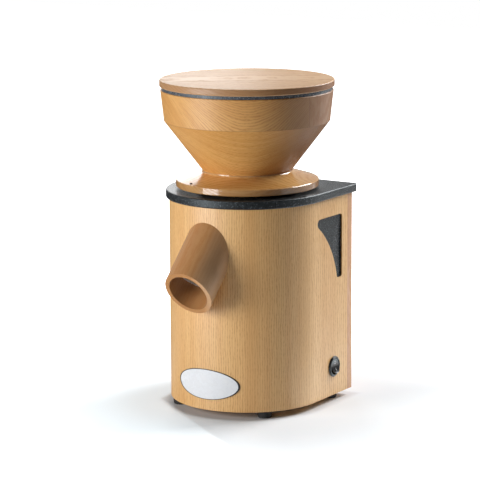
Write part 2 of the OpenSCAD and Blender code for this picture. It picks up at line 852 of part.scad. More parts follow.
// A moulded lining fills the cut-out, holds on behind the wall with a flange, is hollow
// behind, and is dished a little towards its rear edge.
module grip_lining() {
    difference() {
        union() {
            grip_prism(fit, lining_back, lining_x);
            grip_prism(-lining_flange_w, lining_back, body_r - wall_t);
        }
        grip_prism(fit + lining_side, lining_back - 1, lining_hollow);
        intersection() {
            translate([lining_x, grip_y + dish_back, grip_z1 - dish_drop]) grip_dish();
            grip_prism(grip_rim, lining_hollow, lining_x + 1);
        }
    }
}

module grip_lining_right() {
    color(composite) on_axis() grip_lining();
}

module grip_lining_left() {
    color(composite) on_axis() mirror([1, 0, 0]) grip_lining();
}

// Local +Z points out of the mill's right side, from the middle of the switch
module at_switch(x) translate([x, switch_y, switch_z]) rotate([0, 90, 0]) children();

// The walls' lower edge is rebated for the base board's rim.
module shell() {
    color(beech) on_axis() difference() {
        translate([0, 0, z_body]) linear_extrude(body_h) difference() {
            body_plan(0, seam_y);
            body_plan(wall_t, seam_y + 1);
        }
        translate([0, 0, z_body - 1]) linear_extrude(base_t + 1)
            body_plan(wall_t - rebate_w, seam_y + 1);
        along_spout() cylinder(r = spout_r + fit, h = 4 * spout_r, center = true);
        both_sides() grip_prism(0, body_r - wall_t - 1, body_r + 1);
        at_switch(body_r - wall_t - 1) cylinder(r = barrel_r + fit, h = wall_t + 2);
    }
}

module back_panel() {
    r = panel_corner_r;
    color(beech_edge) on_axis() difference() {
        translate([0, 0, z_body]) linear_extrude(body_h) polygon(concat(
            [[-body_r, seam_y], [body_r, seam_y]],
            arc(body_r - r, body_back - r, r, 0, 90),
            arc(-body_r + r, body_back - r, r, 90, 180)
        ));
        at_gland(seam_y - 1) cylinder(r = gland_neck_r + fit, h = panel_t + 2);
    }
}

// Rear corners take square blocks; the front ones follow the round wall.
module block_plan() {
    in_r = body_r - wall_t;
    both_sides() {
        translate([in_r - block_w, seam_y - block_d]) square([block_w, block_d]);
        intersection() {
            circle(r = in_r);
            translate(front_block_at) square(front_block_w, center = true);
        }
    }
}

module corner_blocks() {
    color(beech_edge) on_axis() difference() {
        union() {
            translate([0, 0, z_base_top]) linear_extrude(block_h) block_plan();
            translate([0, 0, z_plate - top_block_h]) linear_extrude(top_block_h) difference() {
                block_plan();
                circle(r = chamber_flange_r + 1);
            }
        }
        base_screw_set(fit);
        plate_screw_set(fit);
    }
}

module base_screw_set(grow = 0) {
    both_sides() for (p = [board_screw_front, board_screw_rear])
        translate([p[0], p[1], z_body]) screw(base_t + board_bite, grow);
}

module base_screws() {
    color(steel) on_axis() base_screw_set();
}

module base_board() {
    slot_in = fan_r * vent_share;
    slot_out = fan_r - vent_w;
    color(beech_edge) on_axis() difference() {
        translate([0, 0, z_body]) linear_extrude(base_t)
            body_plan(wall_t - rebate_w + slack, seam_y - slack);
        translate([0, 0, z_body - 1]) linear_extrude(base_t + 2) around(vent_n) {
            translate([slot_in, -vent_w / 2]) square([slot_out - slot_in, vent_w]);
            translate([slot_in, 0]) circle(r = vent_w / 2, $fn = 24);
            translate([slot_out, 0]) circle(r = vent_w / 2, $fn = 24);
        }
        base_screw_set(fit);
        foot_screw_set(fit);
    }
}

// Pan-head screws: the head fills most of the foot's pocket, the shank ends in the board.
module foot_screw_set(grow = 0) {
    shank_l = foot_h - foot_pocket + base_t - foot_screw_cover;
    at_feet() {
        translate([0, 0, foot_pocket - foot_screw[1]])
            cylinder(r = foot_screw[0] + grow, h = foot_screw[1]);
        translate([0, 0, foot_pocket - thin])
            cylinder(r = foot_screw[2] + grow, h = shank_l + thin + grow);
    }
}

module foot_screws() {
    color(steel) on_axis() foot_screw_set();
}

module foot() {
    difference() {
        rotate_extrude() polygon(concat(
            [[0, 0]],
            arc(foot_r - foot_draft - foot_edge_r, foot_edge_r, foot_edge_r, -90, 0),
            [[foot_r, foot_h], [0, foot_h]]
        ));
        translate([0, 0, -1]) cylinder(r = foot_screw[0] + foot_head_play, h = foot_pocket + 1);
        cylinder(r = foot_screw[2] + fit, h = foot_h + 1);
    }
}

module foot_front_right() {
    color(rubber) on_axis() translate([foot_front_x, -foot_front_y, 0]) foot();
}

module foot_front_left() {
    color(rubber) on_axis() translate([-foot_front_x, -foot_front_y, 0]) foot();
}

module foot_rear_right() {
    color(rubber) on_axis() translate([foot_rear_x, foot_rear_y, 0]) foot();
}

module foot_rear_left() {
    color(rubber) on_axis() translate([-foot_rear_x, foot_rear_y, 0]) foot();
}

module badge() {
    color(white) on_axis() intersection() {
        translate([0, 0, z_body + badge_up]) rotate([90, 0, 0]) linear_extrude(far)
            polygon([for (a = [0:5:355]) [badge_w / 2 * cos(a), badge_h / 2 * sin(a)]]);
        ring(body_r, body_r + badge_t, z_body, z_plate);
    }
}

// ---------- switch ----------

// A threaded barrel with a stepped rim: a flat outer ring and a raised collar inside it
module switch_bezel() {
    r = bezel_edge_r;
    color(black) on_axis() difference() {
        union() {
            at_switch(body_r - barrel_l) cylinder(r = barrel_r, h = barrel_l + thin);
            at_switch(body_r) rotate_extrude() polygon(concat(
                [[0, 0], [bezel_r, 0]],
                arc(bezel_r - r, bezel_step_t - r, r, 0, 90),
                [[bezel_collar_r, bezel_step_t]],
                arc(bezel_collar_r - r, bezel_t - r, r, 0, 90),
                [[0, bezel_t]]
            ));
        }
        at_switch(body_r - barrel_l - 1) cylinder(r = rocker_hole_r, h = far);
        at_rocker() rocker_pin(rocker_pin_r + run_fit, far);
    }
}

module at_rocker() translate([rocker_x, switch_y, switch_z]) children();

module rocker_pin(r, length) rotate([90, 0, 0]) cylinder(r = r, h = length, center = true);

// At rest the upper half is pressed in (off) and the lower half stands out.
module switch_rocker() {
    swing_r = rocker_hole_r - rocker_play;
    top_r = rocker_r - rocker_edge;
    z_edge = sqrt(swing_r * swing_r - rocker_r * rocker_r);
    z_top = sqrt(swing_r * swing_r - top_r * top_r);
    color(black) on_axis() at_rocker() rotate([0, 90 - rocker_swing / 2, 0]) {
        difference() {
            rotate_extrude() polygon([
                [0, -rocker_depth], [rocker_r, -rocker_depth], [rocker_r, z_edge],
                [top_r, z_top], [0, z_top]
            ]);
            translate([0, 0, rocker_rise + rocker_hollow_r]) rocker_pin(rocker_hollow_r, far);
        }
        rocker_pin(rocker_pin_r, 2 * (barrel_r - slack));
    }
}

module switch_nut() {
    color(black) on_axis() difference() {
        at_switch(body_r - barrel_l) cylinder(r = barrel_r + 3, h = barrel_l - wall_t);
        at_switch(body_r - barrel_l - 1) cylinder(r = barrel_r + fit, h = barrel_l);
        translate([far / 2 + body_r - wall_t, 0, 0]) cube([far, far, far], center = true);
    }
}

module switch_body() {
    x = body_r - barrel_l - switch_body_t;
    color(plastic) on_axis() {
        at_switch(x) cylinder(r = barrel_r, h = switch_body_t);
        for (i = [-1:1]) translate([x - blade_size[0] / 2, switch_y, switch_z + i * blade_pitch])
            cube(blade_size, center = true);
    }
}

// ---------- motor ----------

module motor_shaft() {
    z_start = z_fan - shaft_tail;
    in_r = shaft_r - shaft_edge;
    color(steel) on_axis() rotate_extrude() polygon([
        [0, z_start], [in_r, z_start], [shaft_r, z_start + shaft_edge],
        [shaft_r, z_shaft_top - shaft_edge], [in_r, z_shaft_top], [0, z_shaft_top]
    ]);
}

module rotor() {
    color(iron) on_axis() ring(shaft_r, rotor_r, z_iron, z_iron + iron_h);
}

module stator_core() {
    color(iron) on_axis() ring(rotor_r + air_gap, motor_r - frame_wall, z_iron, z_iron + iron_h);
}

// The coils' end turns bulge out of both faces of the iron.
module windings() {
    r0 = rotor_r + air_gap + 2;
    r1 = motor_r - frame_wall - 3;
    z1 = z_iron + iron_h;
    color(copper) on_axis() rotate_extrude() {
        polygon(soft_box(r0, r1, z1, z1 + coil_h, coil_edge));
        polygon(soft_box(r0, r1, z_iron - coil_h, z_iron, coil_edge));
    }
}

// Upright grooves around the frame shed its heat.
module motor_frame() {
    z0 = z_motor + shield_h;
    z1 = z_motor_top - shield_h;
    color(iron) on_axis() difference() {
        ring(motor_r - frame_wall, motor_r, z0, z1);
        around(groove_n) translate([motor_r - groove_d, -groove_w / 2, z0 + groove_margin])
            cube([2 * groove_d, groove_w, z1 - z0 - 2 * groove_margin]);
    }
}

// End shield with its bearing seat, drawn for the top of the motor, at z = 0
module end_shield() {
    seat = bearing_cover + bearing_w;
    hole_r = shaft_r + 1.5;
    in_r = motor_r - frame_wall;
    hub_r = bearing_r + 4;
    rotate_extrude() polygon([
        [hole_r, 0], [motor_r, 0], [motor_r, -shield_h], [in_r, -shield_h],
        [in_r, -shield_t], [hub_r, -shield_t], [hub_r, -seat],
        [bearing_r, -seat], [bearing_r, -bearing_cover], [hole_r, -bearing_cover]
    ]);
}

module upper_end_shield() {
    color(iron) on_axis() difference() {
        translate([0, 0, z_motor_top]) end_shield();
        motor_screw_set(fit);
    }
}

module lower_end_shield() {
    color(iron) on_axis() translate([0, 0, z_motor]) mirror([0, 0, 1]) end_shield();
}

module bearing(z) ring(shaft_r + run_fit, bearing_r, z, z + bearing_w);

module upper_bearing() {
    color(steel) on_axis() bearing(z_motor_top - bearing_cover - bearing_w);
}

module lower_bearing() {
    color(steel) on_axis() bearing(z_motor + bearing_cover);
}

// Straight blades hang under a disc and blow the motor's air out through the base board.
module cooling_fan() {
    z_top = z_fan_disc + fan_disc_t;
    blade_lean = 20;
    color(plastic) on_axis() difference() {
        union() {
            ring(0, fan_r, z_fan_disc, z_top);
            ring(0, fan_hub_r, z_fan, z_top);
            around(fan_n) translate([fan_hub_r - 1, 0, z_fan])
                rotate(blade_lean) cube([fan_r - fan_hub_r - 3, fan_blade_t, fan_h + 1]);
        }
        translate([0, 0, -1]) cylinder(r = shaft_r, h = far);
    }
}

// ---------- mains parts on the back board ----------

module capacitor() {
    color(white) on_axis() translate([capacitor_x, capacitor_y, capacitor_z]) {
        rotate_extrude() polygon(soft_disc(capacitor_r, 0, capacitor_h, capacitor_edge));
        both_sides() translate([tab_at, -tab_size[1] / 2, capacitor_h - thin]) cube(tab_size);
    }
}

module capacitor_clip() {
    z = capacitor_z + (capacitor_h - clip_h) / 2;
    color(steel) on_axis() difference() {
        translate([capacitor_x, capacitor_y, z]) {
            cylinder(r = capacitor_r + clip_t, h = clip_h);
            translate([-clip_w / 2, 0, 0]) cube([clip_w, seam_y - capacitor_y, clip_h]);
        }
        translate([capacitor_x, capacitor_y, z - 1]) cylinder(r = capacitor_r + fit, h = clip_h + 2);
    }
}

// A base with one raised way per wire, each with a hole at either end
module terminal_block() {
    base_y = seam_y - terminal_base_t;
    e = terminal_edge;
    color(white) on_axis() difference() {
        union() {
            translate([terminal_x, base_y, terminal_z])
                cube([terminal_w, terminal_base_t, terminal_ways * terminal_pitch]);
            for (i = [0:terminal_ways - 1])
                translate([terminal_x + e, base_y - terminal_top_t, terminal_z + i * terminal_pitch + e])
                    cube([terminal_w - 2 * e, terminal_top_t + e, terminal_pitch - 2 * e]);
        }
        for (i = [0:terminal_ways - 1]) for (x = [terminal_hole_in, terminal_w - terminal_hole_in])
            translate([terminal_x + x, base_y, terminal_z + (i + 0.5) * terminal_pitch])
                rotate([90, 0, 0]) cylinder(r = terminal_hole_r, h = 2 * terminal_top_t);
    }
}

// Local +Z points out of the back, from the middle of the gland
module at_gland(y) translate([gland_x, y, gland_z]) rotate([-90, 0, 0]) children();

module cable_gland() {
    color(black) on_axis() difference() {
        union() {
            at_gland(seam_y - gland_in) cylinder(r = gland_neck_r, h = panel_t + gland_in + thin);
            at_gland(body_back) rotate_extrude() polygon(concat(
                [[0, 0], [gland_r, 0]],
                arc(gland_r - gland_edge_r, gland_collar_t - gland_edge_r, gland_edge_r, 0, 90),
                [[0, gland_collar_t]]
            ));
        }
        at_gland(seam_y - gland_in - 1) cylinder(r = gland_bore_r, h = far);
    }
}

module gland_nut() {
    color(black) on_axis() difference() {
        at_gland(seam_y - gland_nut_t) cylinder(r = gland_r + 2, h = gland_nut_t, $fn = 6);
        at_gland(seam_y - gland_nut_t - 1) cylinder(r = gland_neck_r + fit, h = gland_nut_t + 2);
    }
}

lid();
lid_ring();
hopper_bowl();
hopper_flange();
setting_dot();
stone_carrier();
carrier_screws();
upper_stone();
dust_seal();
top_plate();
plate_screws();
thread_ring();
milling_chamber();
chamber_screws();
spout();
shell();
back_panel();
corner_blocks();
base_board();
base_screws();
foot_front_left();
foot_front_right();
foot_rear_left();
foot_rear_right();
foot_screws();
grip_lining_left();
grip_lining_right();
badge();
switch_bezel();
switch_nut();
switch_body();
switch_rocker();
lower_stone();
stone_driver();
cap_nut();
shaft_seal();
motor_shaft();
rotor();
stator_core();
windings();
motor_frame();
upper_end_shield();
lower_end_shield();
upper_bearing();
lower_bearing();
motor_screws();
cooling_fan();
capacitor();
capacitor_clip();
terminal_block();
cable_gland();
gland_nut();
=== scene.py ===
"""Electric grain mill: materials, small marks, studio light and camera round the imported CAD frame."""

import json
import math

import bmesh
import bpy
from mathutils import Matrix, Vector


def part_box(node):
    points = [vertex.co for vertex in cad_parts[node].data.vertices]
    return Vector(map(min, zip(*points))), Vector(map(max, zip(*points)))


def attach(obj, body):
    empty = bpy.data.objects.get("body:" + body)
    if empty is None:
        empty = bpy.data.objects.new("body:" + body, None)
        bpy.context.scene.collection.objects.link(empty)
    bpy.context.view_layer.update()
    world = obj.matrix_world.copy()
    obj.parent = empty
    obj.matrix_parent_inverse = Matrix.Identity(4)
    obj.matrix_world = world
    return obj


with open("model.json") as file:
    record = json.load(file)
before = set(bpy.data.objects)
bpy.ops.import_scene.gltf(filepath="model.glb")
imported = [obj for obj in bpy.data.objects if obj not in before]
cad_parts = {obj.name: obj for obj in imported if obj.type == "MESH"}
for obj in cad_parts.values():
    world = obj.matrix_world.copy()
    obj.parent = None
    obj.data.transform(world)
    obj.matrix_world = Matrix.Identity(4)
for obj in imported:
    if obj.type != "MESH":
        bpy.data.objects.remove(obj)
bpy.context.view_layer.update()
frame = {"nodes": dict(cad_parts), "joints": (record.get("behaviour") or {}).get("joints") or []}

MM = 1000.0
NODES = frame["nodes"]

# ---------- camera figures, in metres, pixels and degrees ----------

IMAGE = 480
SENSOR = 36.0
FOCAL = 2337.92
CAMERA_AT = (1.4758, -2.2859, 0.7330)
CAMERA_AZIMUTH = 32.807
CAMERA_DOWN = 11.093
CAMERA_ROLL = -0.297

# ---------- the mill's own figures, in millimetres and degrees ----------

AXIS_Y = (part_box("hopper_flange")[0].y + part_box("hopper_flange")[1].y) / 2 * MM
BODY_R = 93.0
BREAK_Z = 341.3
STAVE_AT = 72.0
STRIPE_X = 55.0
BADGE_HALF = (42.0, 18.25)
BADGE_Z = 39.5
BADGE_BORDER = (0.955, 0.968)
SPOUT_TILT = 45.0
SPOUT_Z = 189.406
BORE_R = 24.5
GRAIN_TURN = 32.6

WHITE = (1.0, 1.0, 1.0, 1.0)


def srgb(red, green, blue):
    """A colour written in 0 to 255 steps, as the linear colour that shaders take."""
    def linear(level):
        level /= 255.0
        return level / 12.92 if level <= 0.04045 else ((level + 0.055) / 1.055) ** 2.4
    return (linear(red), linear(green), linear(blue), 1.0)


class Nodes:
    """Short calls that add nodes to one tree; a value may be a socket or a constant."""

    def __init__(self, tree):
        self.tree = tree
        self.tree.nodes.clear()

    def node(self, kind, **settings):
        """Adds a node with its own settings."""
        made = self.tree.nodes.new(kind)
        for label, value in settings.items():
            setattr(made, label, value)
        return made

    def put(self, socket, value):
        """Links a socket to an input, or writes a constant into it."""
        if isinstance(value, bpy.types.NodeSocket):
            self.tree.links.new(value, socket)
        else:
            socket.default_value = value

    def vector(self, operation, a, b):
        made = self.node("ShaderNodeVectorMath", operation=operation)
        self.put(made.inputs[0], a)
        self.put(made.inputs[1], b)
        return made.outputs["Value" if operation == "DOT_PRODUCT" else "Vector"]

    def split(self, a):
        made = self.node("ShaderNodeSeparateXYZ")
        self.put(made.inputs[0], a)
        return made.outputs[0], made.outputs[1], made.outputs[2]

    def join(self, x, y, z):
        made = self.node("ShaderNodeCombineXYZ")
        for socket, value in zip(made.inputs, (x, y, z)):
            self.put(socket, value)
        return made.outputs[0]

    def math(self, operation, a, b=0.0, c=0.0):
        made = self.node("ShaderNodeMath", operation=operation)
        for socket, value in zip(made.inputs, (a, b, c)):
            self.put(socket, value)
        return made.outputs[0]

    def blur_step(self, value, low, high, to_low=0.0, to_high=1.0):
        """A smooth step: to_low where the value is low or less, to_high where it is high or more."""
        made = self.node("ShaderNodeMapRange", interpolation_type="SMOOTHSTEP")
        for socket, setting in zip(made.inputs, (value, low, high, to_low, to_high)):
            self.put(socket, setting)
        return made.outputs[0]

    def mix(self, share, a, b):
        """A colour between two; the mix node's colour inputs are its sockets 6 and 7."""
        made = self.node("ShaderNodeMix", data_type="RGBA")
        self.put(made.inputs["Factor"], share)
        self.put(made.inputs[6], a)
        self.put(made.inputs[7], b)
        return made.outputs[2]

    def blend(self, share, a, b):
        """A number between two; the mix node's number inputs are its sockets 2 and 3."""
        made = self.node("ShaderNodeMix")
        self.put(made.inputs[0], share)
        self.put(made.inputs[2], a)
        self.put(made.inputs[3], b)
        return made.outputs[0]

    def noise(self, at, scale=1.0, detail=2.0, rough=0.5):
        made = self.node("ShaderNodeTexNoise")
        self.put(made.inputs["Vector"], at)
        self.put(made.inputs["Scale"], scale)
        self.put(made.inputs["Detail"], detail)
        self.put(made.inputs["Roughness"], rough)
        return made.outputs[0]

    def cells(self, at, scale):
        """Each grain's distance from its middle, and a colour of its own."""
        made = self.node("ShaderNodeTexVoronoi")
        self.put(made.inputs["Vector"], at)
        self.put(made.inputs["Scale"], scale)
        return made.outputs["Distance"], made.outputs["Color"]


class Shader(Nodes):
    """One procedural material. Its places x, y and z are in millimetres in the mill's frame."""

    def __init__(self, name, **plain):
        self.material = bpy.data.materials.new(name)
        self.material.use_nodes = True
        super().__init__(self.material.node_tree)
        self.bsdf = self.node("ShaderNodeBsdfPrincipled")
        for label, value in plain.items():
            self.bsdf.inputs[label.replace("_", " ")].default_value = value
        out = self.node("ShaderNodeOutputMaterial")
        self.put(out.inputs["Surface"], self.bsdf.outputs[0])
        place = self.node("ShaderNodeTexCoord").outputs["Object"]
        self.place = self.vector("MULTIPLY", place, (MM, MM, MM))
        self.x, self.y, self.z = self.split(self.place)

    def colour(self, value):
        self.put(self.bsdf.inputs["Base Color"], value)

    def rough(self, value):
        self.put(self.bsdf.inputs["Roughness"], value)

    def bump(self, height, depth_mm):
        made = self.node("ShaderNodeBump")
        self.put(made.inputs["Strength"], 1.0)
        self.put(made.inputs["Distance"], depth_mm / MM)
        self.put(made.inputs["Height"], height)
        self.put(self.bsdf.inputs["Normal"], made.outputs[0])


# ---------- wood ----------

BEECH_PALE = srgb(228, 180, 114)
BEECH_DEEP = srgb(214, 162, 96)
BEECH_FLECK = srgb(184, 118, 54)
BEECH_GLUE = srgb(124, 82, 46)
# End-grain brown, also used as painted shade on the turned rims and inside the spout's bore.
BEECH_END_GRAIN_AND_SHADE = srgb(132, 86, 46)
BEECH_SHINE = 0.9

# The grain's slow bend: steps per millimetre along and across it, and its depth in millimetres.
BEND_STEPS = (0.012, 0.02)
BEND_DEPTH = 4.0

# Sizes along and across the grain, in millimetres, and the shares that lines and flecks colour.
BAND_SIZE = (600.0, 11.0)
WANDER_SIZE = (16.0, 4.0)
WANDER = 7.0
FLECK_SIZE = (4.0, 1.0)
LINE_PITCH = 2.9
LINE_SHARE = 0.26
FLECK_SHARE = 0.33

# Each kind of grain gives four values: the place along it, the place across its lines, a third
# place, and how many times longer than wide a streak is in that third direction.


def upright(s):
    """Grain that runs straight up, with lines of one pitch whichever way a face looks."""
    return s.z, s.x, s.y, 1.0


def wrapped(s):
    """Grain of the bent shell: upright, with its lines counted along the curved front and the flats."""
    forward = s.math("SUBTRACT", AXIS_Y, s.y)
    bend = s.math("ARCTAN2", s.x, s.math("MAXIMUM", forward, 0.0))
    side = s.math("MULTIPLY", s.math("MINIMUM", forward, 0.0), s.math("SIGN", s.x))
    around = s.math("SUBTRACT", s.math("MULTIPLY", bend, BODY_R), side)
    return s.z, around, s.math("MULTIPLY", s.x, 0.1), 1.0


def turned(s, turn, pith_z, shift=0.0):
    """Grain of a turned blank that lies flat: rings about a level pith, at an angle to the mill's front."""
    angle = math.radians(turn)
    cos, sin = math.cos(angle), math.sin(angle)
    y = s.math("SUBTRACT", s.y, AXIS_Y)
    along = s.math("ADD", s.math("MULTIPLY", s.x, cos), s.math("MULTIPLY", y, sin))
    across = s.math("SUBTRACT", s.math("MULTIPLY", y, cos), s.math("MULTIPLY", s.x, sin))
    along = s.math("ADD", along, shift)
    rise = s.math("SUBTRACT", s.z, pith_z)
    ring = s.math("SQRT", s.math("MULTIPLY_ADD", rise, rise, s.math("MULTIPLY", across, across)))
    return along, ring, across, 14.0


def slanted(s):
    """Grain that runs down the spout."""
    tilt = math.radians(SPOUT_TILT)
    y = s.math("SUBTRACT", s.y, AXIS_Y - BODY_R)
    z = s.math("SUBTRACT", s.z, SPOUT_Z)
    along = s.math("ADD", s.math("MULTIPLY", y, math.cos(tilt)), s.math("MULTIPLY", z, math.sin(tilt)))
    over = s.math("SUBTRACT", s.math("MULTIPLY", z, math.cos(tilt)), s.math("MULTIPLY", y, math.sin(tilt)))
    return along, over, s.x, 1.0


def figure(s, grain, offset, pitch=1.0):
    """Broad bands, fine lines and short flecks of one piece of beech, each from 0 to 1."""
    along, ring, third, spread = grain
    slow_along, slow_across = BEND_STEPS
    slow = s.join(s.math("MULTIPLY", along, slow_along), s.math("MULTIPLY", third, slow_across), offset)
    ring = s.math("MULTIPLY_ADD", s.noise(slow, detail=1.0), BEND_DEPTH, ring)

    def streaks(size, detail):
        length, width = size[0], size[1] * pitch
        at = s.join(
            s.math("MULTIPLY_ADD", along, 1.0 / length, offset),
            s.math("MULTIPLY", ring, 1.0 / width),
            s.math("MULTIPLY", third, 1.0 / (width * spread)),
        )
        return s.noise(at, detail=detail)

    bands = s.blur_step(streaks(BAND_SIZE, 1.0), 0.30, 0.70)
    turn = s.math("MULTIPLY", ring, math.tau / (LINE_PITCH * pitch))
    wave = s.math("SINE", s.math("MULTIPLY_ADD", streaks(WANDER_SIZE, 1.0), WANDER, turn))
    lines = s.blur_step(wave, -0.9, 0.9)
    flecks = s.math("MULTIPLY", s.blur_step(streaks(FLECK_SIZE, 0.0), 0.46, 0.60), lines)
    return bands, lines, flecks


def beech_colour(s, parts, pale=BEECH_PALE, deep=BEECH_DEEP, contrast=1.0):
    """The colour of one piece of beech from its bands, lines and flecks."""
    bands, lines, flecks = parts
    ground = s.mix(bands, pale, deep)
    ground = s.mix(s.math("MULTIPLY", lines, LINE_SHARE * contrast), ground, BEECH_FLECK)
    return s.mix(s.math("MULTIPLY", flecks, FLECK_SHARE * contrast), ground, BEECH_FLECK)


def finish_beech(s, parts, colour, rough=0.38):
    """Sets the colour, and lets lines and flecks lie a little lower and rougher than the rest."""
    _, lines, flecks = parts
    s.colour(colour)
    s.rough(s.math("MULTIPLY_ADD", lines, 0.10, rough))
    s.bump(s.math("ADD", s.math("MULTIPLY", flecks, -0.7), s.math("MULTIPLY", lines, -0.3)), 0.04)
    return s.material


def end_grain_and_shade(s, along, least, most):
    """How far a turned blank darkens toward end-grain colour, partly for its end grain and partly as
    painted shade: most at the right end of its grain, least across it.
    """
    y = s.math("SUBTRACT", s.y, AXIS_Y)
    radius = s.math("SQRT", s.math("MULTIPLY_ADD", y, y, s.math("MULTIPLY", s.x, s.x)))
    return s.blur_step(s.math("DIVIDE", along, radius), -0.1, 0.9, least, most)


def rimmed_beech(name, turn, pith_z, offset, rough, least, most, shine=BEECH_SHINE, **look):
    """A turned disc, whose rim is darker than its faces: partly its end grain, partly painted shade."""
    s = Shader(name, Specular_IOR_Level=shine)
    grain = turned(s, turn, pith_z)
    parts = figure(s, grain, offset)
    facing = s.split(s.node("ShaderNodeNewGeometry").outputs["Normal"])[2]
    rim = s.blur_step(s.math("ABSOLUTE", facing), 0.3, 0.8, 1.0, 0.0)
    # Painted shade: the whole rim darkens toward end-grain brown, also across the grain, and most at its
    # right end.
    share = s.math("MULTIPLY", end_grain_and_shade(s, grain[0], least, most), rim)
    colour = s.mix(share, beech_colour(s, parts, **look), BEECH_END_GRAIN_AND_SHADE)
    return finish_beech(s, parts, colour, rough)


def lengthwise(s):
    """Grain that runs across the mill's width, for blocks and boards inside."""
    return s.x, s.y, s.z, 1.0


def plain_beech(name, grain, offset, pale=BEECH_PALE, deep=BEECH_DEEP):
    """One board or block of beech with one direction of grain."""
    s = Shader(name, Specular_IOR_Level=BEECH_SHINE)
    parts = figure(s, grain(s), offset)
    return finish_beech(s, parts, beech_colour(s, parts, pale, deep))


def shell_beech():
    """The bent front and sides: upright grain, fine in front, broad on the flats, one deeper stripe."""
    s = Shader("beech_shell", Specular_IOR_Level=BEECH_SHINE)
    side = s.blur_step(s.y, AXIS_Y - 30.0, AXIS_Y + 4.0)
    front_parts = figure(s, wrapped(s), offset=3.7)
    side_parts = figure(s, wrapped(s), offset=3.7, pitch=1.6)
    parts = [s.blend(side, near, far) for near, far in zip(front_parts, side_parts)]
    colour = beech_colour(s, parts, srgb(238, 193, 127), srgb(231, 182, 116))
    off_stripe = s.math("ABSOLUTE", s.math("SUBTRACT", s.x, STRIPE_X))
    front = s.blur_step(s.y, AXIS_Y - 20.0, AXIS_Y, 1.0, 0.0)
    share = s.math("MULTIPLY", s.blur_step(off_stripe, 3.0, 12.0, 0.35, 0.0), front)
    return finish_beech(s, parts, s.mix(share, colour, BEECH_DEEP))


def bowl_beech():
    """The turned bowl: two glued layers of lying grain, a stave at the right, and darker end grain with
    painted shade toward its right side.
    """
    s = Shader("beech_bowl")
    upper = figure(s, turned(s, GRAIN_TURN, pith_z=312.0), offset=1.3, pitch=0.6)
    lower = figure(s, turned(s, GRAIN_TURN, pith_z=286.0, shift=-20.0), offset=5.9, pitch=0.6)
    stave = figure(s, upright(s), offset=8.2)
    along = turned(s, GRAIN_TURN, pith_z=0.0)[0]
    above = s.math("GREATER_THAN", s.z, BREAK_Z)
    beside = s.math("MULTIPLY", s.math("GREATER_THAN", along, STAVE_AT), above)
    s.put(s.bsdf.inputs["Specular IOR Level"], s.blend(above, 0.2, 0.7))

    parts = [s.blend(above, low, high) for low, high in zip(lower, upper)]
    parts = [s.blend(beside, near, far) for near, far in zip(parts, stave)]
    colour = beech_colour(s, parts, srgb(232, 180, 108), srgb(222, 166, 94), 1.3)
    # Painted shade: the bowl darkens toward end-grain brown on its right side, partly for its end grain and
    # partly for the shade there.
    colour = s.mix(end_grain_and_shade(s, along, 0.05, 0.88), colour, srgb(120, 76, 40))
    return finish_beech(s, parts, bowl_joints(s, colour, along, above))


def bowl_joints(s, colour, along, above):
    """Draws the glue lines between the bowl's layers and beside its stave."""
    layer_gap = s.math("ABSOLUTE", s.math("SUBTRACT", s.z, BREAK_Z))
    colour = s.mix(s.blur_step(layer_gap, 0.15, 0.7, 0.30, 0.0), colour, BEECH_GLUE)
    stave_gap = s.math("ABSOLUTE", s.math("SUBTRACT", along, STAVE_AT))
    joint = s.math("MULTIPLY", s.blur_step(stave_gap, 0.2, 0.8, 0.5, 0.0), above)
    return s.mix(joint, colour, BEECH_GLUE)


def spout_beech():
    """The turned spout: grain along it, a painted sheen where it faces the mill's right, and painted shade
    in its bore.
    """
    s = Shader("beech_spout", Specular_IOR_Level=BEECH_SHINE)
    grain = slanted(s)
    parts = figure(s, grain, offset=4.4)
    colour = beech_colour(s, parts, srgb(200, 147, 91), srgb(193, 139, 85))
    # Painted sheen: the side facing the mill's right is mixed toward a pale pink, for the pale floor that
    # it reflects.
    colour = s.mix(s.blur_step(s.x, 10.0, 28.0, 0.0, 0.6), colour, srgb(224, 186, 146))
    over = grain[1]
    radius = s.math("SQRT", s.math("MULTIPLY_ADD", over, over, s.math("MULTIPLY", s.x, s.x)))
    # Painted shade: the inside of the bore is darkened toward end-grain brown.
    inside = s.blur_step(radius, BORE_R + 0.1, BORE_R + 0.4, 0.45, 0.0)
    return finish_beech(s, parts, s.mix(inside, colour, BEECH_END_GRAIN_AND_SHADE))


# ---------- other materials ----------

def composite(name, low, high, fleck, speck_from=0.68, shine=0.5):
    """Dark mineral-filled composite with a fine pale speckle and a pebbled skin."""
    s = Shader(name, Specular_IOR_Level=shine, Specular_Tint=(0.82, 0.94, 1.0, 1.0))
    grit, tint = s.cells(s.place, 0.8)
    share = s.split(tint)[0]
    cloud = s.noise(s.place, 0.22, 4.0, 0.7)
    dark = s.mix(s.blur_step(cloud, 0.35, 0.68), low, high)
    speck = s.blur_step(share, speck_from, 0.95)
    speck = s.math("MULTIPLY", speck, s.blur_step(grit, 0.15, 0.55, 1.0, 0.0))
    s.colour(s.mix(s.math("MULTIPLY", speck, 0.6), dark, fleck))
    pebble = s.noise(s.place, 0.7, 3.0, 0.6)
    s.rough(s.blur_step(pebble, 0.3, 0.7, 0.24, 0.44))
    s.bump(s.math("ADD", pebble, s.math("MULTIPLY", speck, 0.7)), 0.35)
    return s.material


def moulded(name, colour, rough, grain_mm=0.6, depth=0.03, spread=0.06):
    """A moulded plastic or rubber with a fine skin."""
    s = Shader(name, Specular_IOR_Level=0.5)
    skin = s.noise(s.place, 1.0 / grain_mm, 2.0)
    worn = s.noise(s.place, 0.05, 3.0)
    lighter = tuple(min(1.0, channel * 1.35 + 0.002) for channel in colour[:3]) + (1.0,)
    s.colour(s.mix(s.blur_step(worn, 0.35, 0.7), colour, lighter))
    s.rough(s.blur_step(skin, 0.3, 0.7, rough - spread, rough + spread))
    s.bump(skin, depth)
    return s.material


